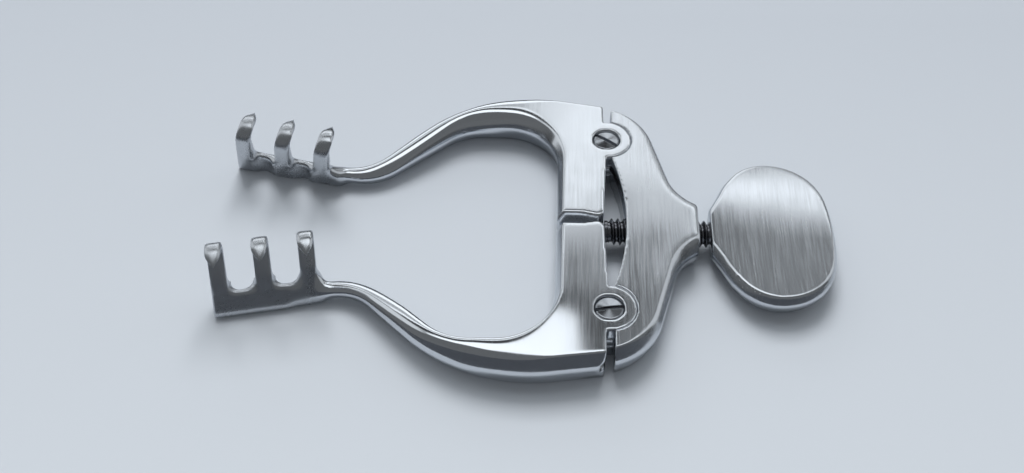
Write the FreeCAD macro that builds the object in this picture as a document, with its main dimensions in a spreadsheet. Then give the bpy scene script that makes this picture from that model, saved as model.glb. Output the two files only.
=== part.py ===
"""Self retaining retractor with three sharp prongs on each arm, opened by a thumbscrew.

The frame: the origin is on the yoke's flat underside, +X runs back to the thumb plate, +Z is up.
The instrument is the same on both sides of the XZ plane. An arm is drawn from its own hinge axis.
"""

import FreeCAD, Part
import math
import os
import Sketcher

SIZES = [
    # whole instrument
    ("hinge_half", 18.0, "from the middle plane to a hinge axis"),
    ("hinge_setback", 8.0, "from the origin forward to the hinge axes"),
    ("thickness", 6.8, "yoke, and arms at the hinges"),
    ("bulge", 0.95, "how far the sides stand out at mid height"),
    # hinge
    ("boss_radius", 4.2, "round ears of an arm"),
    ("boss_clearance", 0.1, "ears in their round seats"),
    ("tongue", 1.74, "height of the yoke's middle layer at a hinge"),
    ("tongue_clearance", 0.08, "each face of the tongue in the arm's slot"),
    ("slot_cutter", 13.3, "disc cutter that opens an arm's slot"),
    ("slot_depth", 4.75, "slot's bottom in front of the hinge axis"),
    ("notch_arm", 0.5, "arm's side of the notch, ahead of the hinge axis"),
    ("notch_yoke", 0.82, "yoke's side of the notch, behind the hinge axis"),
    # hinge screw
    ("pin_radius", 1.5, "shank of a hinge screw"),
    ("pin_end_gap", 0.8, "screw's end above the underside"),
    ("head_radius", 2.25, "head of a hinge screw"),
    ("head_height", 1.0, "head up to its dome"),
    ("head_dome", 0.4, "height of the domed top"),
    ("head_sink", 0.1, "top of the dome below the arm's face"),
    ("head_clearance", 0.12, "head in its seat"),
    ("driver_slot", 0.6, "width of the screwdriver slot"),
    ("driver_depth", 0.7, "depth of the screwdriver slot"),
    ("upper_slot_turn", -35.0, "slot direction of the upper screw"),
    ("lower_slot_turn", 10.0, "slot direction of the lower screw"),
    ("running_clearance", 0.05, "pins and spindle in their bores"),
    # yoke outline at mid height, from the hinge line
    ("yoke_top_y", 26.8, "line that the shoulder leaves"),
    ("shoulder_x", 6.1, "corner of the shoulder"),
    ("shoulder_radius", 11.05, "round shoulder"),
    ("waist_x", 11.65, "corner where the yoke turns into its neck"),
    ("waist_y", 6.1, "corner where the yoke turns into its neck"),
    ("waist_radius", 8.4, "hollow curve into the neck"),
    ("neck_end", 14.7, "end face of the neck"),
    ("neck_beyond_y", 1.4, "where the neck's side line runs on to"),
    ("inner_radius", 45.0, "hollow inner edge"),
    ("inner_apex", 3.0, "inner edge on the middle plane"),
    # arm outline at mid height, from the hinge axis
    ("arm_back_y", 8.0, "outer line beyond the notch"),
    ("bow_x", -21.4, "corner of the outer curve"),
    ("bow_y", 12.6, "corner of the outer curve"),
    ("bow_radius", 26.9, "outer curve"),
    ("turn_outer_x", -40.2, "corner where the shank turns to the rake, outer side"),
    ("turn_outer_y", -4.8, "corner where the shank turns to the rake, outer side"),
    ("turn_outer_radius", 6.8, "turn to the rake, outer side"),
    ("turn_inner_x", -39.3, "corner where the shank turns to the rake, inner side"),
    ("turn_inner_y", -7.8, "corner where the shank turns to the rake, inner side"),
    ("turn_inner_radius", 9.5, "turn to the rake, inner side"),
    ("window_y", 5.2, "inner side of the bow"),
    ("window_far_x", -24.6, "corner where the bow's inner side turns into the shank"),
    ("window_far_radius", 9.0, "turn from the bow into the shank"),
    ("window_radius", 9.5, "turn from the bow into the tail"),
    ("tail_front_x", -8.2, "front side of the tail"),
    ("tail_root_x", 0.1, "back side of the tail below the ear"),
    ("tail_tip_x", -0.65, "back side of the tail at its tip"),
    ("tail_gap_back", 0.36, "tail's tip from the middle plane, at the back"),
    ("tail_gap_front", 1.15, "tail's tip from the middle plane, at the front"),
    ("tail_corner", 1.0, "rounded corners of the tail's tip"),
    ("notch_corner_y", 8.9, "corner between the notch and the outer side"),
    ("notch_corner", 1.6, "rounding there"),
    # rake, along its own bar
    ("rake_x", -46.2, "middle of the nearest prong's point"),
    ("rake_y", -4.93, "zero line of the bar there"),
    ("rake_turn", 12.0, "bar turned out from the length"),
    ("bar_near", 1.6, "bar between the shank and the nearest point"),
    ("prong_pitch", 6.95, "from prong to prong"),
    ("prong_width", 2.6, "width of a prong"),
    ("left_prong_lean", 3.0, "left points nearer the hinges than the bar's underside"),
    ("right_prong_lean", 0.8, "right points nearer the hinges than the bar's underside"),
    ("bar_height", 3.9, "height of the bar"),
    ("bar_top_in", 0.3, "outer top edge of the bar, inward of the zero line"),
    ("bar_foot_out", 2.4, "foot of the bar, outer side"),
    ("bar_foot_radius", 0.9, "rounded lower edge of the bar, outer side"),
    ("bar_foot_in", 1.8, "foot of the bar, inner side"),
    ("bar_edge_radius", 0.4, "rounded lower edge of the bar, inner side"),
    ("hook_under_in", 3.9, "corner under the hook, inward"),
    ("hook_under_radius", 1.2, "rounding under the hook"),
    ("hook_back_in", 5.95, "corner over the hook, inward"),
    ("hook_back_height", 14.9, "corner over the hook, height"),
    ("hook_back_radius", 2.6, "rounding over the hook"),
    ("tip_out", 1.45, "sharp tip outward of the bar"),
    ("tip_height", 11.9, "sharp tip"),
    ("point_length", 4.3, "length of the pointed end"),
    ("point_shoulder", 1.9, "straight sides before the point narrows"),
    ("point_radius", 4.0, "rounding where it narrows"),
    ("root_radius", 1.0, "rounding between prong and bar"),
    ("flute_radius", 2.2, "hollow in the bar between prongs"),
    ("flute_in", 1.2, "bottom of that hollow, inward of the zero line"),
    # thumbscrew
    ("spindle_radius", 2.2, "over the thread"),
    ("spindle_chamfer", 0.3, "edge at the spindle's front end"),
    ("foot_radius", 1.8, "swivel foot"),
    ("foot_length", 0.5, "swivel foot"),
    ("foot_clearance", 0.2, "foot from the tails"),
    ("foot_play", 0.05, "foot from the spindle's end"),
    ("spigot_radius", 1.0, "foot's spigot in the spindle"),
    ("spigot_length", 2.5, "foot's spigot"),
    ("plate_start", 16.8, "thumb plate's flat end"),
    ("plate_flank_x", 15.6, "where the flank's line starts, ahead of the flat end"),
    ("plate_flank_y", 2.4, "where the flank's line starts"),
    ("plate_side_x", 22.2, "corner between flank and side"),
    ("plate_side_radius", 6.8, "rounding there"),
    ("plate_half", 14.8, "half width of the thumb plate at mid height"),
    ("plate_far_x", 35.45, "far corner"),
    ("plate_far_radius", 9.4, "rounding of the far corner"),
    ("plate_end", 36.8, "thumb plate's round end at mid height"),
    ("plate_end_radius", 40.0, "bow of the round end"),
    ("plate_thickness", 4.0, "thumb plate"),
    ("plate_bulge", 0.6, "rim stands out at mid height"),
    ("tang_radius", 1.3, "spindle's end in the plate"),
    ("tang_length", 7.5, "spindle's end in the plate"),
]
# The roof over an arm falls toward the rake: a flat with a slope on each side, at five places.
ROOF = [
    # name, ahead, aside, turn, half of the flat, its height, height at the roof's outer side
    ("start", -17.0, 8.2, 3.0, 3.2, 7.3, 4.5),
    ("bow", -25.4, 5.9, 28.0, 2.0, 6.3, 2.3),
    ("shank", -34.0, -1.0, 42.0, 1.0, 4.9, 0.1),
    ("turn", -41.0, -5.1, 12.0, 0.7, 3.6, 0.0),
    ("rake", -47.5, -4.6, -12.0, 0.6, 3.0, 0.0),
]
ROOF_PARTS = ["ahead", "aside", "turn", "flat", "height", "low"]
ROOF_HALF = 5.0
PRONGS = 3
BEYOND = 6.0

doc = FreeCAD.newDocument("retractor")
sheet = doc.addObject("Spreadsheet::Sheet", "dims")
roof_sizes = [
    (f"roof_{place}_{part}", size, "roof over an arm")
    for place, *sizes in ROOF for part, size in zip(ROOF_PARTS, sizes)
]
for row, (name, size, note) in enumerate(SIZES + roof_sizes, start=1):
    sheet.set(f"A{row}", name)
    sheet.set(f"B{row}", str(size))
    sheet.set(f"C{row}", note)
    sheet.setAlias(f"B{row}", name)
doc.recompute()


def value(expression):
    """The number that an expression over the sheet gives."""
    return float(sheet.evalExpression(str(expression)))


def new_body(name, forward="0", sideways="0"):
    """An empty body whose own origin lies at a place given by expressions."""
    body = doc.addObject("PartDesign::Body", name)
    body.Label = name
    body.setExpression("Placement.Base.x", forward)
    body.setExpression("Placement.Base.y", sideways)
    return body


def new_sketch(body, name, role, height="0", place=None, turn=None):
    """A sketch on one of the body's origin planes, moved by expressions."""
    plane = [item for item in body.Origin.OriginFeatures if item.Role == role][0]
    sketch = body.newObject("Sketcher::SketchObject", name)
    sketch.AttachmentSupport = [(plane, "")]
    sketch.MapMode = "FlatFace"
    if turn:
        axis = FreeCAD.Vector(0, 0, 1) if role == "XY_Plane" else FreeCAD.Vector(0, 1, 0)
        sketch.AttachmentOffset = FreeCAD.Placement(
            FreeCAD.Vector(0, 0, 0), FreeCAD.Rotation(axis, value(turn)))
        sketch.setExpression("AttachmentOffset.Rotation.Angle", turn)
    if place:
        for axis_name, expression in place.items():
            sketch.setExpression("AttachmentOffset.Base." + axis_name, expression)
    if height != "0":
        sketch.setExpression("AttachmentOffset.Base.z", height)
    return sketch


def dimension(sketch, kind, items, expression):
    """A size in a sketch, bound to an expression."""
    index = sketch.addConstraint(Sketcher.Constraint(kind, *items, value(expression)))
    sketch.setExpression(f"Constraints[{index}]", expression)


def pin_point(sketch, geometry, vertex, across, up):
    """Ties one point of a sketch to two expressions."""
    dimension(sketch, "DistanceX", (-1, 1, geometry, vertex), across)
    dimension(sketch, "DistanceY", (-1, 1, geometry, vertex), up)


def add_outline(sketch, corners):
    """A closed outline through corners (across, up, radius), each rounded where it has a radius."""
    spots = [FreeCAD.Vector(value(across), value(up), 0) for across, up, radius in corners]
    count = len(corners)
    ends = []
    for index, (across, up, radius) in enumerate(corners):
        before = (spots[index - 1] - spots[index]).normalize()
        after = (spots[(index + 1) % count] - spots[index]).normalize()
        if radius is None:
            ends.append((spots[index], spots[index], None))
            continue
        half = before.getAngle(after) / 2
        reach = value(radius) / math.tan(half)
        middle = spots[index] + (before + after).normalize() * (value(radius) / math.sin(half))
        ends.append((spots[index] + before * reach, spots[index] + after * reach, middle))
    lines = []
    for index in range(count):
        start = ends[index][1]
        finish = ends[(index + 1) % count][0]
        lines.append(sketch.addGeometry(Part.LineSegment(start, finish)))
    for index, (across, up, radius) in enumerate(corners):
        arriving = lines[index - 1]
        leaving = lines[index]
        if radius is None:
            sketch.addConstraint(Sketcher.Constraint("Coincident", arriving, 2, leaving, 1))
            pin_point(sketch, leaving, 1, across, up)
            continue
        first, last, middle = ends[index]
        inner = spots[index] + (middle - spots[index]).normalize() * (
            (middle - spots[index]).Length - value(radius))
        arc = sketch.addGeometry(Part.Arc(first, inner, last))
        clockwise = (first - middle).cross(last - middle).z < 0
        arc_first, arc_last = (2, 1) if clockwise else (1, 2)
        sketch.addConstraint(Sketcher.Constraint("Tangent", arriving, 2, arc, arc_first))
        sketch.addConstraint(Sketcher.Constraint("Tangent", leaving, 1, arc, arc_last))
        dimension(sketch, "Radius", (arc,), radius)
        corner = sketch.addGeometry(Part.Point(spots[index]), True)
        sketch.addConstraint(Sketcher.Constraint("PointOnObject", corner, 1, arriving))
        sketch.addConstraint(Sketcher.Constraint("PointOnObject", corner, 1, leaving))
        pin_point(sketch, corner, 1, across, up)


def add_circle(sketch, across, up, radius):
    """A circle placed and sized by expressions."""
    centre = FreeCAD.Vector(value(across), value(up), 0)
    circle = sketch.addGeometry(
        Part.Circle(centre, FreeCAD.Vector(0, 0, 1), value(radius)))
    dimension(sketch, "Radius", (circle,), radius)
    pin_point(sketch, circle, 3, across, up)


def extrude(body, kind, name, sketch, length, both_ways=False, flip=False):
    """A Pad or a Pocket of a sketch, with its length bound to an expression."""
    volume = body.Shape.Volume if body.Tip else 0
    feature = body.newObject("PartDesign::" + kind, name)
    feature.Profile = sketch
    feature.SideType = "Symmetric" if both_ways else "One side"
    feature.Reversed = flip
    feature.setExpression("Length", length)
    sketch.Visibility = False
    doc.recompute()
    changed = body.Shape.Volume - volume
    if (changed > 0) != (kind == "Pad"):
        raise ValueError(f"{name} changes the volume by {changed:.3f}")
    return feature


def face_edges(shape, heights):
    """Names of the edges that lie in the flat faces at the given heights."""
    return [
        f"Edge{number}" for number, edge in enumerate(shape.Edges, start=1)
        if any(all(abs(vertex.Z - height) < 0.001 for vertex in edge.Vertexes) for height in heights)
    ]


def rounded_slab(body, name, corners, height, bulge):
    """A slab whose sides stand out in a band at mid height and slope in above and below it."""
    sketch = new_sketch(body, name + "_outline", "XY_Plane")
    add_outline(sketch, corners)
    slab = extrude(body, "Pad", name, sketch, height)
    slope = body.newObject("PartDesign::Chamfer", name + "_slopes")
    slope.Base = (slab, face_edges(slab.Shape, (0, value(height))))
    slope.ChamferType = "Two distances"
    slope.setExpression("Size", f"{height} / 3")
    slope.setExpression("Size2", bulge)
    doc.recompute()


HINGE_X = "-dims.hinge_setback"
MIDDLE = "dims.thickness / 2"
EAR = "(dims.thickness - dims.tongue) / 2"
HEAD_SEAT = "dims.head_height + dims.head_dome + dims.head_sink"


def on_side(side, corners):
    """The same corners on the side of the middle plane that the sign names."""
    return [(across, f"{side}({up})", radius) for across, up, radius in corners]


def rectangle(left, right, low, high):
    """The corners of a plain rectangle."""
    return [(left, low, None), (right, low, None), (right, high, None), (left, high, None)]


def make_yoke():
    """The bridge that carries both arms and the thumbscrew's nut thread."""
    body = new_body("yoke", HINGE_X)
    upper = [
        (f"-{BEYOND}", "dims.yoke_top_y", None),
        ("dims.shoulder_x", "dims.yoke_top_y", "dims.shoulder_radius"),
        ("dims.waist_x", "dims.waist_y", "dims.waist_radius"),
        (f"dims.neck_end + {BEYOND}", "dims.neck_beyond_y", None),
    ]
    corners = upper + on_side("-", reversed(upper))
    rounded_slab(body, "bridge", corners, "dims.thickness", "dims.bulge")
    far = f"dims.yoke_top_y + {BEYOND}"
    trim = new_sketch(body, "end_lines", "XY_Plane")
    add_outline(trim, rectangle(f"-{2 * BEYOND}", "dims.notch_yoke", f"-({far})", far))
    add_outline(trim, rectangle("dims.neck_end", f"dims.neck_end + {2 * BEYOND}", f"-({far})", far))
    extrude(body, "Pocket", "ends", trim, "dims.thickness", flip=True)
    hollow = new_sketch(body, "inner_edge", "XY_Plane")
    add_circle(hollow, "dims.inner_apex - dims.inner_radius", "0", "dims.inner_radius")
    extrude(body, "Pocket", "hollow", hollow, "dims.thickness", flip=True)
    for side, name in (("", "left"), ("-", "right")):
        hinge_y = side + "dims.hinge_half"
        for level, height in (("low", "0"), ("high", f"dims.thickness - {EAR}")):
            seat = new_sketch(body, f"{name}_{level}_circle", "XY_Plane", height)
            add_circle(seat, "0", hinge_y, "dims.boss_radius + dims.boss_clearance")
            extrude(body, "Pocket", f"{name}_{level}_seat", seat, EAR, flip=True)
        disc = new_sketch(body, name + "_tongue_circle", "XY_Plane", MIDDLE)
        add_circle(disc, "0", hinge_y, "dims.boss_radius")
        extrude(body, "Pad", name + "_tongue", disc, "dims.tongue", both_ways=True)
        hole = new_sketch(body, name + "_pin_circle", "XY_Plane")
        add_circle(hole, "0", hinge_y, "dims.pin_radius + dims.running_clearance")
        extrude(body, "Pocket", name + "_pin_hole", hole, "dims.thickness", flip=True)
    bore = new_sketch(body, "nut_circle", "YZ_Plane")
    add_circle(bore, "0", MIDDLE, "dims.spindle_radius + dims.running_clearance")
    extrude(body, "Pocket", "nut_bore", bore, f"dims.neck_end + {BEYOND}", flip=True)
    return body


def lower_roof(body, side):
    """Cuts away what stands above the arm's roof."""
    sections = []
    for place, *_ in ROOF:
        size = f"dims.roof_{place}_"
        section = new_sketch(body, place + "_section", "YZ_Plane", size + "ahead",
                             {"x": f"{side}({size}aside)"}, f"{side}({size}turn)")
        above = f"dims.thickness + {BEYOND}"
        add_outline(section, [
            (f"-{ROOF_HALF}", size + "low", None),
            (f"-{size}flat", size + "height", None),
            (size + "flat", size + "height", None),
            (f"{ROOF_HALF}", size + "low", None),
            (f"{ROOF_HALF}", above, None),
            (f"-{ROOF_HALF}", above, None),
        ])
        sections.append(section)
    cut = body.newObject("PartDesign::SubtractiveLoft", "roof")
    cut.Profile = sections[0]
    cut.Sections = [(section, [""]) for section in sections[1:]]
    doc.recompute()


def make_lever(name, side):
    """An arm without its rake: ears, tail, bow and shank, drawn from the hinge axis."""
    body = new_body(name + "_lever")
    turn = "tan(dims.rake_turn)"
    end_outer = f"dims.turn_outer_y + (dims.turn_outer_x - dims.rake_x) * {turn}"
    end_inner = f"dims.turn_inner_y + (dims.turn_inner_x - dims.rake_x) * {turn}"
    tail_end = f"-dims.hinge_half - {BEYOND}"
    corners = on_side(side, [
        (f"{BEYOND}", "dims.arm_back_y", None),
        ("dims.bow_x", "dims.bow_y", "dims.bow_radius"),
        ("dims.turn_outer_x", "dims.turn_outer_y", "dims.turn_outer_radius"),
        ("dims.rake_x", end_outer, None),
        ("dims.rake_x", end_inner, None),
        ("dims.turn_inner_x", "dims.turn_inner_y", "dims.turn_inner_radius"),
        ("dims.window_far_x", "dims.window_y", "dims.window_far_radius"),
        ("dims.tail_front_x", "dims.window_y", "dims.window_radius"),
        ("dims.tail_front_x", tail_end, None),
        (f"{BEYOND}", tail_end, None),
    ])
    rounded_slab(body, "plate", corners, "dims.thickness", "dims.bulge")
    lower_roof(body, side)
    trim = new_sketch(body, "back_lines", "XY_Plane")
    far = f"dims.hinge_half + {2 * BEYOND}"
    add_outline(trim, on_side(side, [
        ("-dims.notch_arm", "0", None),
        ("-dims.notch_arm", "dims.notch_corner_y", "dims.notch_corner"),
        (f"-{BEYOND}", f"dims.notch_corner_y + {BEYOND} / 3", None),
        (f"-{BEYOND}", far, None),
        (far, far, None),
        (far, f"-({far})", None),
        (f"dims.tail_front_x - {BEYOND}", f"-({far})", None),
        (f"dims.tail_front_x - {BEYOND}", "dims.tail_gap_front - dims.hinge_half", None),
        ("dims.tail_front_x / 2", "dims.tail_gap_front - dims.hinge_half", None),
        ("dims.tail_tip_x", "dims.tail_gap_back - dims.hinge_half", "dims.tail_corner"),
        ("dims.tail_root_x", "0", None),
    ]))
    extrude(body, "Pocket", "back", trim, "dims.thickness", flip=True)
    disc = new_sketch(body, "ear_circle", "XY_Plane")
    add_circle(disc, "0", "0", "dims.boss_radius")
    extrude(body, "Pad", "ears", disc, "dims.thickness")
    slot = new_sketch(body, "slot_circle", "XY_Plane", MIDDLE)
    add_circle(slot, "dims.slot_cutter - dims.slot_depth", "0", "dims.slot_cutter")
    extrude(body, "Pocket", "slot", slot, "dims.tongue + 2 * dims.tongue_clearance", both_ways=True)
    seat = new_sketch(body, "head_circle", "XY_Plane", f"dims.thickness - ({HEAD_SEAT})")
    add_circle(seat, "0", "0", "dims.head_radius + dims.head_clearance")
    extrude(body, "Pocket", "head_seat", seat, HEAD_SEAT, flip=True)
    hole = new_sketch(body, "pin_circle", "XY_Plane", "dims.pin_end_gap")
    add_circle(hole, "0", "0", "dims.pin_radius")
    extrude(body, "Pocket", "pin_hole", hole, "dims.thickness", flip=True)
    return body


def along_bar(side, distance):
    """Where a place along the bar lies, as two expressions from the hinge axis."""
    ahead = f"dims.rake_x - ({distance}) * cos(dims.rake_turn)"
    aside = f"{side}(dims.rake_y + ({distance}) * sin(dims.rake_turn))"
    return ahead, aside


def make_rake(name, side, lean):
    """The bar with its three hooked prongs, drawn along the turned bar."""
    body = new_body(name + "_rake")
    turn = ("-" if side == "" else "") + "dims.rake_turn"
    last = f"{PRONGS - 1} * dims.prong_pitch + dims.prong_width / 2 + {lean}"
    ahead, aside = along_bar(side, f"{last} + {BEYOND}")
    profile = new_sketch(body, "hook_profile", "YZ_Plane", ahead, {"x": aside}, turn)
    add_outline(profile, [(f"{side}({across})", up, radius) for across, up, radius in [
        ("dims.bar_foot_out", "0", "dims.bar_foot_radius"),
        ("-dims.bar_top_in", "dims.bar_height", None),
        ("-dims.hook_under_in", "dims.tip_height", "dims.hook_under_radius"),
        ("dims.tip_out", "dims.tip_height", None),
        ("-dims.hook_back_in", "dims.hook_back_height", "dims.hook_back_radius"),
        ("-dims.bar_foot_in", "0", "dims.bar_edge_radius"),
    ]])
    extrude(body, "Pad", "hooks", profile, f"{last} + {BEYOND} + dims.bar_near")
    ahead, aside = along_bar(side, "0")
    gaps = new_sketch(body, "gap_lines", "XZ_Plane", f"-({aside})", {"x": ahead}, turn)
    top = f"(dims.tip_height + {BEYOND})"
    for number in range(-1, PRONGS):
        near = f"-({number} * dims.prong_pitch + dims.prong_width / 2)"
        far = f"-({number + 1} * dims.prong_pitch - dims.prong_width / 2)"
        low = "dims.bar_height"
        if number == -1:
            near = f"{2 * BEYOND}"
        if number == PRONGS - 1:
            far = f"{near} - {2 * BEYOND}"
            low = f"-{BEYOND}"
        below = f"(1 - ({low}) / dims.tip_height) * {lean}"
        above = f"({top} / dims.tip_height - 1) * {lean}"
        add_outline(gaps, [
            (f"{far} - {below}", low, "dims.root_radius" if number < PRONGS - 1 else None),
            (f"{near} - {below}", low, "dims.root_radius" if -1 < number < PRONGS - 1 else None),
            (f"{near} + {above}", top, None),
            (f"{far} + {above}", top, None),
        ])
    extrude(body, "Pocket", "gaps", gaps, "2 * dims.hinge_half", both_ways=True)
    points = new_sketch(body, "point_lines", "XY_Plane", "dims.tip_height - dims.hook_under_radius",
                        {"x": ahead, "y": aside}, turn)
    for number in range(PRONGS):
        middle = f"-{number} * dims.prong_pitch"
        half = "dims.prong_width / 2"
        start = "dims.tip_out - dims.point_length"
        wide = f"({half} + dims.root_radius)"
        beyond = "dims.tip_out + dims.root_radius"
        add_outline(points, on_side(side, [
            (f"{middle} + {wide}", start, None),
            (f"{middle} + {half}", start, None),
            (f"{middle} + {half}", f"{start} + dims.point_shoulder", "dims.point_radius"),
            (middle, "dims.tip_out", None),
            (f"{middle} - {half}", f"{start} + dims.point_shoulder", "dims.point_radius"),
            (f"{middle} - {half}", start, None),
            (f"{middle} - {wide}", start, None),
            (f"{middle} - {wide}", beyond, None),
            (f"{middle} + {wide}", beyond, None),
        ]))
    extrude(body, "Pocket", "points", points, f"{BEYOND}", flip=True)
    flutes = new_sketch(body, "flute_circles", "XY_Plane", "0", {"x": ahead, "y": aside}, turn)
    for number in range(PRONGS - 1):
        middle = f"-({number} + 1 / 2) * dims.prong_pitch"
        lower = f"(1 - dims.bar_height / 2 / dims.tip_height) * {lean}"
        add_circle(flutes, f"{middle} - {lower}", f"{side}(-dims.flute_in - dims.flute_radius)",
                   "dims.flute_radius")
    extrude(body, "Pocket", "flutes", flutes, "dims.bar_height", flip=True)
    return body


def make_arm(name, side):
    """A whole arm: the lever and its rake as one forging."""
    arm = doc.addObject("Part::Fuse", name)
    arm.Label = name
    arm.Base = make_lever(name, side)
    arm.Tool = make_rake(name, side, f"dims.{name[4:]}_prong_lean")
    arm.setExpression("Placement.Base.x", HINGE_X)
    arm.setExpression("Placement.Base.y", side + "dims.hinge_half")
    doc.recompute()
    return arm


def make_hinge_screw(name, side, turn):
    """A slotted screw: domed head, shank down to the lower ear."""
    body = new_body(name, HINGE_X, side + "dims.hinge_half")
    top = "(dims.thickness - dims.head_sink - dims.head_dome)"
    half = new_sketch(body, "half_section", "XZ_Plane")
    add_outline(half, [
        ("0", "dims.pin_end_gap", None),
        ("dims.pin_radius", "dims.pin_end_gap", None),
        ("dims.pin_radius", f"{top} - dims.head_height", None),
        ("dims.head_radius", f"{top} - dims.head_height", None),
        ("dims.head_radius", f"{top} + dims.head_dome / 2", "dims.head_dome"),
        ("0", f"{top} + dims.head_dome", None),
    ])
    turned = body.newObject("PartDesign::Revolution", "turned")
    turned.Profile = half
    turned.ReferenceAxis = (half, ["V_Axis"])
    turned.Angle = 360
    doc.recompute()
    line = new_sketch(body, "slot_lines", "XY_Plane", f"{top} + dims.head_dome - dims.driver_depth",
                      turn=turn)
    add_outline(line, rectangle(
        "-2 * dims.head_radius", "2 * dims.head_radius", "-dims.driver_slot / 2", "dims.driver_slot / 2"))
    extrude(body, "Pocket", "driver", line, "2 * dims.driver_depth", flip=True)
    return body


FOOT_FRONT = "(dims.tail_tip_x + dims.foot_clearance)"
FOOT_BACK = f"({FOOT_FRONT} + dims.foot_length)"
SPINDLE_FRONT = f"({FOOT_BACK} + dims.foot_play)"


def make_spindle():
    """The thumbscrew's rod, with its nut thread left plain, a bore in front and a tang behind."""
    body = new_body("spindle", HINGE_X)
    section = new_sketch(body, "half_section", "XY_Plane", MIDDLE)
    bore = "(dims.spigot_radius + dims.running_clearance)"
    deep = f"{SPINDLE_FRONT} + dims.spigot_length + dims.foot_play"
    add_outline(section, [
        (SPINDLE_FRONT, bore, None),
        (SPINDLE_FRONT, "dims.spindle_radius - dims.spindle_chamfer", None),
        (f"{SPINDLE_FRONT} + dims.spindle_chamfer", "dims.spindle_radius", None),
        ("dims.plate_start", "dims.spindle_radius", None),
        ("dims.plate_start", "dims.tang_radius", None),
        ("dims.plate_start + dims.tang_length", "dims.tang_radius", None),
        ("dims.plate_start + dims.tang_length", "0", None),
        (deep, "0", None),
        (deep, bore, None),
    ])
    turned = body.newObject("PartDesign::Revolution", "turned")
    turned.Profile = section
    turned.ReferenceAxis = (section, ["H_Axis"])
    turned.Angle = 360
    doc.recompute()
    return body


def make_pressure_foot():
    """The small foot that pushes on both tails and doesn't turn with the spindle."""
    body = new_body("pressure_foot", HINGE_X)
    section = new_sketch(body, "half_section", "XY_Plane", MIDDLE)
    end = f"{SPINDLE_FRONT} + dims.spigot_length"
    add_outline(section, [
        (FOOT_FRONT, "0", None),
        (FOOT_FRONT, "dims.foot_radius", None),
        (FOOT_BACK, "dims.foot_radius", None),
        (FOOT_BACK, "dims.spigot_radius", None),
        (end, "dims.spigot_radius", None),
        (end, "0", None),
    ])
    turned = body.newObject("PartDesign::Revolution", "turned")
    turned.Profile = section
    turned.ReferenceAxis = (section, ["H_Axis"])
    turned.Angle = 360
    doc.recompute()
    return body


def make_thumb_plate():
    """The broad plate that finger and thumb turn."""
    body = new_body("thumb_plate", HINGE_X)
    body.setExpression("Placement.Base.z", f"{MIDDLE} - dims.plate_thickness / 2")
    upper = [
        ("dims.plate_flank_x", "dims.plate_flank_y", None),
        ("dims.plate_side_x", "dims.plate_half", "dims.plate_side_radius"),
        ("dims.plate_far_x", "dims.plate_half", "dims.plate_far_radius"),
    ]
    corners = upper + [("dims.plate_end", "0", "dims.plate_end_radius")] + on_side("-", reversed(upper))
    rounded_slab(body, "plate", corners, "dims.plate_thickness", "dims.plate_bulge")
    trim = new_sketch(body, "flat_line", "XY_Plane")
    add_outline(trim, rectangle("0", "dims.plate_start", "-dims.plate_half", "dims.plate_half"))
    extrude(body, "Pocket", "flat", trim, "dims.plate_thickness", flip=True)
    bore = new_sketch(body, "tang_circle", "YZ_Plane", "dims.plate_start")
    add_circle(bore, "0", "dims.plate_thickness / 2", "dims.tang_radius")
    extrude(body, "Pocket", "tang_bore", bore, "dims.tang_length", flip=True)
    return body


pieces = [
    make_yoke(),
    make_arm("arm_left", ""),
    make_arm("arm_right", "-"),
    make_hinge_screw("hinge_screw_left", "", "dims.upper_slot_turn"),
    make_hinge_screw("hinge_screw_right", "-", "dims.lower_slot_turn"),
    make_spindle(),
    make_pressure_foot(),
    make_thumb_plate(),
]
doc.recompute()
for item in doc.Objects:
    if {"Invalid", "Error"} & set(item.State):
        raise ValueError(f"{item.Name} failed: {item.State}")
os.makedirs("parts", exist_ok=True)
for piece in pieces:
    if piece.Shape.isNull() or not piece.Shape.isValid() or len(piece.Shape.Solids) != 1:
        raise ValueError(f"{piece.Label} has a bad shape")
    piece.Shape.exportStep(f"parts/{piece.Label}.step")
    print(piece.Label, round(piece.Shape.Volume, 1))
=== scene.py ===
import math

import bmesh
import bpy
import numpy
from mathutils import Matrix, Vector


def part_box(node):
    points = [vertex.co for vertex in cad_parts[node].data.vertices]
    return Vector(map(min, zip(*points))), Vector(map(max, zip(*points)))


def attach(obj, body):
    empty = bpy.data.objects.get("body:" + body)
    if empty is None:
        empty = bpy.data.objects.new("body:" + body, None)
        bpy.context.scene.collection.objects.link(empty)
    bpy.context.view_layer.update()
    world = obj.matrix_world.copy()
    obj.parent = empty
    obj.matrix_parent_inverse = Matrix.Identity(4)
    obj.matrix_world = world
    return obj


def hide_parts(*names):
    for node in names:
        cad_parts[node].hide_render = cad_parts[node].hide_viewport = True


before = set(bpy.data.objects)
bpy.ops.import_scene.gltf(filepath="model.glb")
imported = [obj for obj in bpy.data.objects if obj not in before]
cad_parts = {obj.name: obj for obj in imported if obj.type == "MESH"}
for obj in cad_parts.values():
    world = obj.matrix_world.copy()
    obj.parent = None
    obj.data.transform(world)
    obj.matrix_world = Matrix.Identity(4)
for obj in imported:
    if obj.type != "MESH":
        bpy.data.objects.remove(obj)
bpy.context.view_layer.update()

MM = 0.001

# the photograph's width and focal length in pixels, and its camera in millimetres and degrees
IMAGE_WIDTH = 1024
FOCAL_PIXELS = 1150
SENSOR_WIDTH = 36.0
CAMERA_PLACE = (-17.8, -123.5, 145.6)
CAMERA_ELEVATION = 49.4
CAMERA_YAW = -1.72
CAMERA_ROLL = -1.61

# the nearest and the farthest that the camera sees, in metres
CLIP_START = 0.005
CLIP_END = 10

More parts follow.
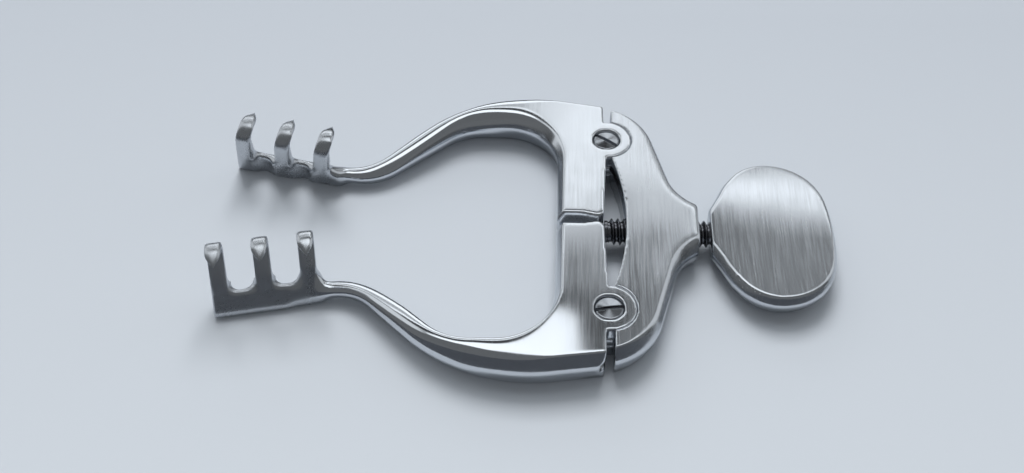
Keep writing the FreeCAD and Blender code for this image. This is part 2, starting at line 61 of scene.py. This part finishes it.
# the table: lengths in metres, and its colours as a screen shows them, the far one darkened as painted
# shade
TABLE_HALF = 1.5
TABLE_DROP = 0.02 * MM
TABLE_ROUGHNESS = 0.85
TABLE_NEAR_Y = -0.05
TABLE_FAR_Y = 0.06
TABLE_NEAR_COLOUR = (209, 215, 222)
TABLE_FAR_SHADED_COLOUR = (189, 195, 203)

# the dark card in front, in metres
FLAG_HALF = 0.3
FLAG_Y = -0.055
FLAG_HEIGHT = 0.03
FLAG_COLOUR = (0.08, 0.085, 0.095, 1)
FLAG_ROUGHNESS = 0.9

# soft lamps: place, point looked at, width and height in metres, and power in watts
KEY_LIGHT = ((-0.05, 0.42, 0.62), (0, 0, 0), 0.4, 0.3, 3.9)
FILL_LIGHT = ((0, -0.35, 0.4), (0, -0.05, 0), 0.5, 0.3, 0.2)

# What the bright steel mirrors: patches of the room by bearing and height in degrees.
# The bearing is 0 beyond the instrument as the camera sees it, and positive toward +X.
ROOM = [
    # bearing from, to, softness; height from, to, softness; level
    (-180, 180, 1, 14, 90, 14, 0.17),
    (-80, -42, 6, 4, 60, 6, 0.90),
    (45, 85, 6, 4, 60, 6, 0.75),
    (-36, 34, 5, 16, 48.8, 1.4, 1.60),
    (-36, 0, 6, 33, 44.5, 4, 0.55),
    (5.5, 34, 3, 44.6, 50.0, 2.0, 0.36),
    (9, 34, 3, 16, 42.5, 3, 0.50),
    (9, 34, 3, 40.5, 46.6, 1.5, 1.70),
    (-36, 34, 5, 49.5, 62, 1.0, 0.07),
    (8, 34, 4, 49.0, 63, 1.5, 0.24),
    (110, 180, 10, 0, 12, 6, 0.10),
    (-180, -110, 10, 0, 12, 6, 0.10),
    (100, 180, 20, 20, 40, 6, 0.18),
    (-180, -100, 20, 20, 40, 6, 0.18),
    (-70, 70, 10, 63, 84, 4, 1.60),
]
HORIZON_LEVEL = 0.07
ROOM_TINT = (0.93, 0.97, 1.0, 1.0)

# noise over the steel: how far it is stretched on each axis, and how fine it is
ACROSS_THE_LENGTH = (36, 1, 36)
EVERY_WAY = (1, 1, 1)
BRUSH_SCALE = 120.0
CLOUD_SCALE = 90.0
YOKE_WAVE_SCALE = 60.0
PLATE_WAVE_SCALE = 70.0

# what the noise adds to the roughness, and what full brush lines do to colour and height
CLOUD_ROUGHNESS = (-0.03, 0.04)
BRUSH_ROUGHNESS = (-0.05, 0.08)
BRUSH_DARKENING = 0.10
BRUSH_BUMP = 0.25
BRUSH_DEPTH = 0.02 * MM
BEVEL_SAMPLES = 6

# what the finer polish of shank and rake and the rough finish of the rake change, and how far painted
# shade darkens the rake's colour
SHANK_ROUGHNESS = -0.06
RAKE_ROUGHNESS = 0.19
RAKE_PAINTED_SHADE = 0.78

# Where the steel's look changes: a coordinate in millimetres, and the length of the change.
# The share is 1 above that coordinate, or below it where the length is negative.
SHANK_POLISH_X = (-22, -8)
RAKE_ROUGH_X = (-54, -5)
RAKE_SHADE_PLACE_X = (-53, -3)
BOW_FRONT_X = (-35, 6)
BOW_BACK_X = (-12, 9)
BOW_OUTWARD = (17.5, 7)
NEAR_ARM_Y = (0, -1)
WALL_CREASE_Z = (3.5, 1.2)
WALL_FRONT_X = (-27, 8)
SHANK_FRONT_X = (-52, 5)
STEM_Z = (5, 4)
STEM_X = (-52, -2)

# how far the shading normal leans there, with the dome's crest and the shank's heights in millimetres
BOW_LEAN = 0.02
NEAR_BOW_LEAN = 0.15
YOKE_WAVE = 0.02
PLATE_WAVE = 0.012
PLATE_CREST_Y = 5
PLATE_DOME = 8.5
PLATE_LEAST_LEAN = -0.06
WALL_LEAN = 0.32
WALL_SHARES = (-0.4, 1.0)
SHANK_SHARES = (-0.4, 1.4)
SHANK_HEIGHTS = (0.8, 3)

# how the forged pieces are worn round
VOXEL = 0.2 * MM
WEAR_STEPS = 80
POLISH_STEPS = 60
PULL = 0.5

# where the wear changes, in millimetres, written like the places above
HINGE_X = -8
HINGE_Y = 18
ARM_HINGE_REACH = (5.5, 2)
YOKE_HINGE_REACH = (6.5, 2)
YOKE_OUTER_X = (-3, 6)
SHANK_WEAR_X = (-20, -8)
JOINT_WEAR_X = (-49, -4)
RAKE_WEAR_X = (-57.5, -2)
PRONG_FOOT_Z = (5.6, 1.2)

# how much each part is worn: a share of the way to the neighbours' mean
ARM_WEAR = 0.03
ARM_WEAR_PAST_HINGE = 0.03
SHANK_WEAR = 0.75
JOINT_WEAR = 0.20
RAKE_SPARED = 0.85
YOKE_WEAR = 0.01
YOKE_OUTER_WEAR = 0.30
PLATE_WEAR = 0.06

# the thumb plate's outline is evened in sectors but not beside its neck, all in degrees
OUTLINE_SECTOR = 3
OUTLINE_BLUR = 30
NECK_SPARED = (46, 24)

# the thumbscrew's thread, in millimetres and degrees
THREAD_PITCH = 1.0
THREAD_DEPTH = 0.55
THREAD_INTO_PLATE = 0.3
THREAD_STEPS = 28
THREAD_SHARP_ANGLE = 35
MERGE_DISTANCE = 0.002 * MM

# the thread's profile: where its root and its crest start and end, as shares of the pitch
ROOT_END = 0.12
CREST_START = 0.44
CREST_END = 0.56
ROOT_START = 0.88


def srgb(red, green, blue):
    """A linear colour from the 0 to 255 numbers that a screen shows."""
    def linear(level):
        share = level / 255
        return share / 12.92 if share <= 0.04045 else ((share + 0.055) / 1.055) ** 2.4
    return linear(red), linear(green), linear(blue), 1.0


def dimmed(colour, share):
    """A colour times a share, still opaque."""
    return tuple(level * share for level in colour[:3]) + (1.0,)


class Nodes:
    """Short calls for building a node tree."""

    def __init__(self, tree):
        self.tree = tree

    def add(self, kind, **settings):
        """A node with its properties set."""
        node = self.tree.nodes.new(kind)
        for name, setting in settings.items():
            setattr(node, name, setting)
        return node

    def feed(self, socket, source):
        """Links another socket to a socket, or gives it a value."""
        if isinstance(source, bpy.types.NodeSocket):
            self.tree.links.new(source, socket)
        else:
            socket.default_value = source

    def set(self, node, **inputs):
        """Feeds a node's inputs by name; underscores stand for spaces."""
        for name, source in inputs.items():
            self.feed(node.inputs[name.replace("_", " ")], source)

    def split(self, vector):
        """The X, Y and Z of a vector."""
        node = self.add("ShaderNodeSeparateXYZ")
        self.feed(node.inputs[0], vector)
        return node.outputs["X"], node.outputs["Y"], node.outputs["Z"]

    def place(self):
        """The X, Y and Z of the object coordinates, in metres."""
        return self.split(self.add("ShaderNodeTexCoord").outputs["Object"])

    def noise(self, scale, stretch=EVERY_WAY, detail=3.0, rough=0.5):
        """Noise over the stretched object coordinates."""
        coordinates = self.add("ShaderNodeTexCoord")
        mapping = self.add("ShaderNodeMapping")
        self.set(mapping, Vector=coordinates.outputs["Object"], Scale=stretch)
        node = self.add("ShaderNodeTexNoise")
        self.set(node, Vector=mapping.outputs["Vector"], Scale=scale, Detail=detail, Roughness=rough)
        return node.outputs["Fac"]

    def ramp(self, source, low, high, start=0.3, end=0.7):
        """Maps the numbers from start to end, by default those of noise, onto low to high."""
        node = self.add("ShaderNodeMapRange")
        self.set(node, Value=source, From_Min=start, From_Max=end, To_Min=low, To_Max=high)
        return node.outputs["Result"]

    def step(self, source, edge, soft):
        """Rises from 0 to 1 around an edge, or falls where the softness is negative."""
        node = self.add("ShaderNodeMapRange", interpolation_type="SMOOTHSTEP")
        low, high = (0.0, 1.0) if soft > 0 else (1.0, 0.0)
        self.set(node, Value=source, To_Min=low, To_Max=high)
        self.set(node, From_Min=edge - abs(soft) / 2, From_Max=edge + abs(soft) / 2)
        return node.outputs["Result"]

    def past(self, source, change):
        """The same step for an edge and a softness in millimetres."""
        edge, soft = change
        return self.step(source, edge * MM, soft * MM)

    def math(self, operation, first, second=0):
        """The result of an operation on numbers or sockets."""
        node = self.add("ShaderNodeMath", operation=operation)
        self.feed(node.inputs[0], first)
        self.feed(node.inputs[1], second)
        return node.outputs[0]

    def plus(self, first, second):
        """The sum of two numbers or sockets."""
        return self.math("ADD", first, second)

    def minus(self, first, second):
        """The difference of two numbers or sockets."""
        return self.math("SUBTRACT", first, second)

    def times(self, first, second):
        """The product of two numbers or sockets."""
        return self.math("MULTIPLY", first, second)

    def mix(self, share, first, second):
        """The colour that lies a share of the way from the first to the second."""
        node = self.add("ShaderNodeMix", data_type="RGBA")
        self.set(node, Factor=share)
        self.feed(node.inputs[6], first)
        self.feed(node.inputs[7], second)
        return node.outputs[2]


def add_object(name, data):
    """A new object in the scene."""
    made = bpy.data.objects.new(name, data)
    bpy.context.scene.collection.objects.link(made)
    return made


def add_card(name, corners, material_name, roughness):
    """A flat card with a plain material, and its shader's node."""
    mesh = bpy.data.meshes.new(name)
    mesh.from_pydata(corners, [], [(0, 1, 2, 3)])
    material = bpy.data.materials.new(material_name)
    material.use_nodes = True
    shader = material.node_tree.nodes["Principled BSDF"]
    shader.inputs["Roughness"].default_value = roughness
    mesh.materials.append(material)
    return add_object(name, mesh), shader


def steel(name, colour, roughness, brush, brush_stretch=ACROSS_THE_LENGTH, edge_round=0,
          stretch=0, lean=None):
    """Stainless steel with brush lines and cloudy polish, and on small pieces rounded edges."""
    material = bpy.data.materials.new(name)
    material.use_nodes = True
    material.node_tree.nodes.clear()
    nodes = Nodes(material.node_tree)
    lines = nodes.noise(BRUSH_SCALE, brush_stretch, detail=2.0, rough=0.6)
    cloud = nodes.noise(CLOUD_SCALE)
    x = nodes.place()[0]
    rough = nodes.plus(nodes.ramp(cloud, roughness + CLOUD_ROUGHNESS[0], roughness + CLOUD_ROUGHNESS[1]),
                       nodes.ramp(lines, BRUSH_ROUGHNESS[0] * brush, BRUSH_ROUGHNESS[1] * brush))
    rough = nodes.plus(rough, nodes.times(nodes.past(x, SHANK_POLISH_X), SHANK_ROUGHNESS))
    rough = nodes.plus(rough, nodes.times(nodes.past(x, RAKE_ROUGH_X), RAKE_ROUGHNESS))
    tint = nodes.mix(nodes.ramp(lines, 0.0, 1.0), dimmed(colour, 1 - BRUSH_DARKENING * brush), colour)
    # painted shade: the rake's steel is drawn darker than the rest of the arm
    tint = nodes.mix(nodes.past(x, RAKE_SHADE_PLACE_X), tint, dimmed(colour, RAKE_PAINTED_SHADE))
    bump = nodes.add("ShaderNodeBump")
    nodes.set(bump, Strength=BRUSH_BUMP * brush, Distance=BRUSH_DEPTH, Height=lines)
    if edge_round:
        bevel = nodes.add("ShaderNodeBevel", samples=BEVEL_SAMPLES)
        nodes.set(bevel, Radius=edge_round * MM)
        nodes.set(bump, Normal=bevel.outputs["Normal"])
    normal = bump.outputs["Normal"]
    if lean:
        normal = leaned(nodes, normal, lean)
    shader = nodes.add("ShaderNodeBsdfPrincipled")
    nodes.set(shader, Base_Color=tint, Metallic=1.0, Roughness=rough, Normal=normal)
    if stretch:
        along_x = nodes.add("ShaderNodeCombineXYZ")
        nodes.set(along_x, X=1.0)
        nodes.set(shader, Tangent=along_x.outputs[0], Anisotropic=stretch)
    out = nodes.add("ShaderNodeOutputMaterial")
    nodes.set(out, Surface=shader.outputs[0])
    return material


def lean_arm(nodes, x, y):
    """How far an arm's top face leans outward: only at the bow, and more on the near arm."""
    along = nodes.minus(nodes.past(x, BOW_FRONT_X), nodes.past(x, BOW_BACK_X))
    bow = nodes.times(along, nodes.past(nodes.math("ABSOLUTE", y), BOW_OUTWARD))
    amount = nodes.plus(nodes.times(nodes.past(y, NEAR_ARM_Y), NEAR_BOW_LEAN), BOW_LEAN)
    return nodes.times(nodes.times(bow, amount), nodes.math("SIGN", y))


def lean_yoke(nodes, x, y):
    """The yoke's top face is ground almost flat all over."""
    return nodes.ramp(nodes.noise(YOKE_WAVE_SCALE, detail=1.0), -YOKE_WAVE, YOKE_WAVE)


def lean_plate(nodes, x, y):
    """The thumb plate is a little domed along its brush lines."""
    wave = nodes.ramp(nodes.noise(PLATE_WAVE_SCALE, detail=1.0), -PLATE_WAVE, PLATE_WAVE)
    dome = nodes.times(nodes.minus(y, PLATE_CREST_Y * MM), PLATE_DOME)
    return nodes.plus(nodes.math("MAXIMUM", dome, PLATE_LEAST_LEAN), wave)


def leaned(nodes, normal, lean):
    """Tips the normal along Y, as hand grinding leaves a face, and down or up on walls."""
    x, y, z = nodes.place()
    behind = nodes.past(x, WALL_FRONT_X)
    wall = nodes.times(nodes.ramp(nodes.past(z, WALL_CREASE_Z), *WALL_SHARES, 0, 1), behind)
    low, high = SHANK_HEIGHTS
    shank = nodes.times(nodes.minus(nodes.past(x, SHANK_FRONT_X), behind),
                        nodes.ramp(z, *SHANK_SHARES, low * MM, high * MM))
    stem = nodes.times(nodes.past(z, STEM_Z), nodes.past(x, STEM_X))
    lift = nodes.times(nodes.plus(nodes.plus(wall, stem), shank), WALL_LEAN)
    turn = nodes.add("ShaderNodeCombineXYZ")
    nodes.set(turn, Y=lean(nodes, x, y), Z=lift)
    total = nodes.add("ShaderNodeVectorMath", operation="ADD")
    nodes.feed(total.inputs[0], normal)
    nodes.feed(total.inputs[1], turn.outputs[0])
    unit = nodes.add("ShaderNodeVectorMath", operation="NORMALIZE")
    nodes.feed(unit.inputs[0], total.outputs[0])
    return unit.outputs[0]


def dress(node, material):
    """Gives a CAD node its material."""
    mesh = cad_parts[node].data
    if not mesh.materials:
        mesh.materials.append(material)
    for index in range(len(mesh.materials)):
        mesh.materials[index] = material


def make_camera():
    """The camera that the photograph was taken with."""
    data = bpy.data.cameras.new("camera")
    data.sensor_width = SENSOR_WIDTH
    data.lens = FOCAL_PIXELS * SENSOR_WIDTH / IMAGE_WIDTH
    data.clip_start = CLIP_START
    data.clip_end = CLIP_END
    camera = add_object("camera", data)
    turn = (Matrix.Rotation(math.radians(CAMERA_ROLL), 3, "Z")
            @ Matrix.Rotation(math.radians(CAMERA_YAW), 3, "Y")
            @ Matrix.Rotation(math.radians(CAMERA_ELEVATION - 90), 3, "X"))
    camera.matrix_world = Matrix.Translation(Vector(CAMERA_PLACE) * MM) @ turn.transposed().to_4x4()
    bpy.context.scene.camera = camera


def make_floor():
    """The pale blue-grey table, with painted shade making it a little darker toward its far side."""
    half = TABLE_HALF
    outline = [(-half, -half), (half, -half), (half, half), (-half, half)]
    corners = [(x, y, -TABLE_DROP) for x, y in outline]
    floor, shader = add_card("floor", corners, "table", TABLE_ROUGHNESS)
    nodes = Nodes(shader.id_data)
    # painted shade: the table's colour darkens toward its far side
    painted_shade = nodes.ramp(nodes.place()[1], 0, 1, TABLE_NEAR_Y, TABLE_FAR_Y)
    nodes.set(shader, Base_Color=nodes.mix(painted_shade, srgb(*TABLE_NEAR_COLOUR), srgb(*TABLE_FAR_SHADED_COLOUR)))


def make_world():
    """A plain studio with light panels and dark gaps."""
    world = bpy.data.worlds.new("studio")
    bpy.context.scene.world = world
    world.use_nodes = True
    world.node_tree.nodes.clear()
    nodes = Nodes(world.node_tree)
    x, y, z = nodes.split(nodes.add("ShaderNodeTexCoord").outputs["Generated"])
    height = nodes.times(nodes.math("ARCSINE", z), math.degrees(1))
    bearing = nodes.times(nodes.math("ARCTAN2", x, y), math.degrees(1))
    level = HORIZON_LEVEL
    for left, right, side_soft, low, high, end_soft, patch in ROOM:
        mask = nodes.step(height, low, end_soft)
        if high < 90:
            mask = nodes.times(mask, nodes.step(height, high, -end_soft))
        if left > -180:
            mask = nodes.times(mask, nodes.step(bearing, left, side_soft))
        if right < 180:
            mask = nodes.times(mask, nodes.step(bearing, right, -side_soft))
        level = nodes.plus(level, nodes.times(nodes.minus(patch, level), mask))
    shade = nodes.add("ShaderNodeBackground")
    nodes.set(shade, Color=ROOM_TINT, Strength=level)
    out = nodes.add("ShaderNodeOutputWorld")
    nodes.set(out, Surface=shade.outputs[0])


def add_flag():
    """A low dark card in front, which only the steel's sides mirror."""
    half = FLAG_HALF
    outline = [(-half, 0), (half, 0), (half, FLAG_HEIGHT), (-half, FLAG_HEIGHT)]
    corners = [(x, FLAG_Y, z) for x, z in outline]
    flag, shader = add_card("flag", corners, "flag", FLAG_ROUGHNESS)
    shader.inputs["Base Color"].default_value = FLAG_COLOUR
    flag.visible_camera = False
    flag.visible_diffuse = False
    flag.visible_shadow = False


def add_softbox(name, place, target, width, height, power):
    """A large soft lamp that looks at a point and isn't mirrored itself."""
    data = bpy.data.lights.new(name, "AREA")
    data.shape = "RECTANGLE"
    data.size = width
    data.size_y = height
    data.energy = power
    lamp = add_object(name, data)
    lamp.location = place
    lamp.visible_glossy = False
    lamp.rotation_euler = (Vector(target) - Vector(place)).to_track_quat("-Z", "Y").to_euler()


def rise(place, edge, soft):
    """Rises smoothly from 0 to 1 around an edge, or falls where the softness is negative."""
    share = numpy.clip((place - edge) / soft + 0.5, 0.0, 1.0)
    return share * share * (3 - 2 * share)


def hinge_distance(x, y):
    """How far a place is from the nearer hinge's axis."""
    return numpy.hypot(x - HINGE_X, abs(y) - HINGE_Y)


def arm_wear(x, y, z):
    """Crisp at the hinge and the tail, rounder along the shank, fine again at the rake."""
    shank = rise(x, *SHANK_WEAR_X)
    joint = rise(x, *JOINT_WEAR_X)
    rake = numpy.maximum(rise(x, *RAKE_WEAR_X), joint * rise(z, *PRONG_FOOT_Z))
    hinge = rise(hinge_distance(x, y), *ARM_HINGE_REACH)
    forged = SHANK_WEAR * shank + JOINT_WEAR * joint
    return ARM_WEAR + ARM_WEAR_PAST_HINGE * hinge + forged * (1 - RAKE_SPARED * rake)


def yoke_wear(x, y, z):
    """Crisp at the hinges, rounder toward the outer side."""
    hinge = rise(hinge_distance(x, y), *YOKE_HINGE_REACH)
    return YOKE_WEAR + YOKE_OUTER_WEAR * hinge * rise(x, *YOKE_OUTER_X)


def plate_wear(x, y, z):
    """The same all round."""
    return numpy.full(x.shape, PLATE_WEAR)


def rounded_outline(places):
    """Evens out the thumb plate's outline, except beside its neck."""
    low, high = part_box("thumb_plate")
    centre = numpy.array([(low[0] + high[0]) / 2, 0.0])
    spread = places[:, :2] - centre
    radius = numpy.hypot(spread[:, 0], spread[:, 1])
    angle = numpy.degrees(numpy.arctan2(spread[:, 1], spread[:, 0]))
    count = 360 // OUTLINE_SECTOR
    sector = numpy.clip(((angle + 180) / OUTLINE_SECTOR).astype(int), 0, count - 1)
    reach = numpy.zeros(count)
    numpy.maximum.at(reach, sector, radius)
    offsets = numpy.arange(-OUTLINE_BLUR, OUTLINE_BLUR + 1, OUTLINE_SECTOR)
    weights = 1 + numpy.cos(numpy.pi * offsets / OUTLINE_BLUR)
    turned = [numpy.roll(reach, offset // OUTLINE_SECTOR) for offset in offsets]
    even = sum(weight * ring for weight, ring in zip(weights, turned))
    even /= weights.sum()
    middles = numpy.arange(count) * OUTLINE_SECTOR - 180 + OUTLINE_SECTOR / 2
    change = 1 + (even / reach - 1) * rise(180 - abs(middles), *NECK_SPARED)
    scale = numpy.interp(angle, middles, change, period=360)
    places[:, :2] = centre + spread * scale[:, None]


def evened(values, first, second, degree, share, steps):
    """Draws each vertex's values toward the mean of its neighbours', as much as its share says."""
    for _ in range(steps):
        for axis in range(3):
            line = values[:, axis].copy()
            total = numpy.bincount(first, line[second], len(line))
            total += numpy.bincount(second, line[first], len(line))
            values[:, axis] += (total / degree - line) * PULL * share


def fine_mesh(node):
    """A copy of a CAD node's mesh, cut anew into small even faces."""
    copy = add_object("fine_" + node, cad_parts[node].data.copy())
    remesh = copy.modifiers.new("remesh", "REMESH")
    remesh.mode = "VOXEL"
    remesh.voxel_size = VOXEL
    mesh = bpy.data.meshes.new_from_object(copy.evaluated_get(bpy.context.evaluated_depsgraph_get()))
    bpy.data.objects.remove(copy)
    mesh.name = "worn_" + node
    return mesh


def vertex_rows(mesh, name):
    """One vector of every vertex, such as its place, as the rows of an array."""
    rows = numpy.empty(len(mesh.vertices) * 3)
    mesh.vertices.foreach_get(name, rows)
    return rows.reshape(-1, 3)


def softened(node, body, material, wear, reshape=None):
    """A finely meshed copy of a CAD node whose edges are worn round, as much as wear says."""
    mesh = fine_mesh(node)
    edges = numpy.empty(len(mesh.edges) * 2, dtype=numpy.int64)
    mesh.edges.foreach_get("vertices", edges)
    degree = numpy.bincount(edges, minlength=len(mesh.vertices))
    places = vertex_rows(mesh, "co")
    share = wear(places[:, 0] / MM, places[:, 1] / MM, places[:, 2] / MM)
    neighbours = (edges[0::2], edges[1::2], degree, share)
    evened(places, *neighbours, WEAR_STEPS)
    if reshape:
        reshape(places)
    mesh.vertices.foreach_set("co", places.ravel())
    mesh.update()
    mesh.shade_smooth()
    normals = vertex_rows(mesh, "normal")
    evened(normals, *neighbours, POLISH_STEPS)
    normals /= numpy.linalg.norm(normals, axis=1)[:, None]
    mesh.normals_split_custom_set_from_vertices(normals)
    mesh.materials.clear()
    mesh.materials.append(material)
    piece = add_object("worn_" + node, mesh)
    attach(piece, body)
    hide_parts(node)


def thread_rings():
    """Rings of places on the thread, from the spindle's front end into the thumb plate."""
    low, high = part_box("spindle")
    start = low[0]
    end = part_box("thumb_plate")[0][0] + THREAD_INTO_PLATE * MM
    axis_z = (low[2] + high[2]) / 2
    crest = (high[2] - low[2]) / 2
    root = crest - THREAD_DEPTH * MM
    pitch = THREAD_PITCH * MM
    profile = [(0.0, root), (ROOT_END, root), (CREST_START, crest), (CREST_END, crest), (ROOT_START, root)]
    rings = []
    for turn in range(-1, int((end - start) / pitch) + 2):
        for share, radius in profile:
            ring = []
            for step in range(THREAD_STEPS + 1):
                angle = 2 * math.pi * step / THREAD_STEPS
                along = start + (turn + share + step / THREAD_STEPS) * pitch
                inside = min(max(along, start), end)
                reach = radius if along == inside else root
                reach = min(reach, root + min(inside - start, end - inside))
                ring.append((inside, math.cos(angle) * reach, axis_z + math.sin(angle) * reach))
            rings.append(ring)
    return rings


def make_threaded_spindle(material):
    """The spindle with its thread cut, in place of the plain cylinder."""
    build = bmesh.new()
    made = [[build.verts.new(place) for place in ring] for ring in thread_rings()]
    for ring, after in zip(made, made[1:]):
        for step in range(THREAD_STEPS):
            build.faces.new((ring[step], ring[step + 1], after[step + 1], after[step]))
    bmesh.ops.remove_doubles(build, verts=build.verts, dist=MERGE_DISTANCE)
    bmesh.ops.dissolve_degenerate(build, dist=MERGE_DISTANCE, edges=build.edges)
    bmesh.ops.holes_fill(build, edges=[edge for edge in build.edges if edge.is_boundary])
    bmesh.ops.recalc_face_normals(build, faces=build.faces)
    mesh = bpy.data.meshes.new("threaded_spindle")
    build.to_mesh(mesh)
    build.free()
    mesh.shade_smooth()
    mesh.set_sharp_from_angle(angle=math.radians(THREAD_SHARP_ANGLE))
    mesh.materials.append(material)
    piece = add_object("threaded_spindle", mesh)
    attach(piece, "thumbscrew")
    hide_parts("spindle")


satin = steel("satin_steel", (0.66, 0.685, 0.72, 1.0), 0.16, brush=0.5, stretch=0.3, lean=lean_arm)
brushed = steel("brushed_steel", (0.65, 0.675, 0.71, 1.0), 0.20, brush=0.8, stretch=0.6, lean=lean_yoke)
plate_steel = steel("plate_steel", (0.65, 0.675, 0.71, 1.0), 0.18, brush=0.8, stretch=0.7, lean=lean_plate)
polished = steel("polished_steel", (0.34, 0.355, 0.38, 1.0), 0.12, brush=0.4,
                 brush_stretch=EVERY_WAY, edge_round=0.12)
thread = steel("thread_steel", (0.16, 0.165, 0.18, 1.0), 0.26, brush=0.3,
               brush_stretch=EVERY_WAY, edge_round=0.06)

make_camera()
make_floor()
make_world()
add_flag()
add_softbox("key_light", *KEY_LIGHT)
add_softbox("fill_light", *FILL_LIGHT)
for node in ("arm_left", "arm_right"):
    dress(node, satin)
    softened(node, node, satin, arm_wear)
dress("yoke", brushed)
softened("yoke", "frame", brushed, yoke_wear)
dress("thumb_plate", plate_steel)
softened("thumb_plate", "thumbscrew", plate_steel, plate_wear, rounded_outline)
for node in ("hinge_screw_left", "hinge_screw_right"):
    dress(node, polished)
dress("pressure_foot", thread)
dress("spindle", thread)
make_threaded_spindle(thread)

bpy.context.scene.view_settings.view_transform = "Standard"
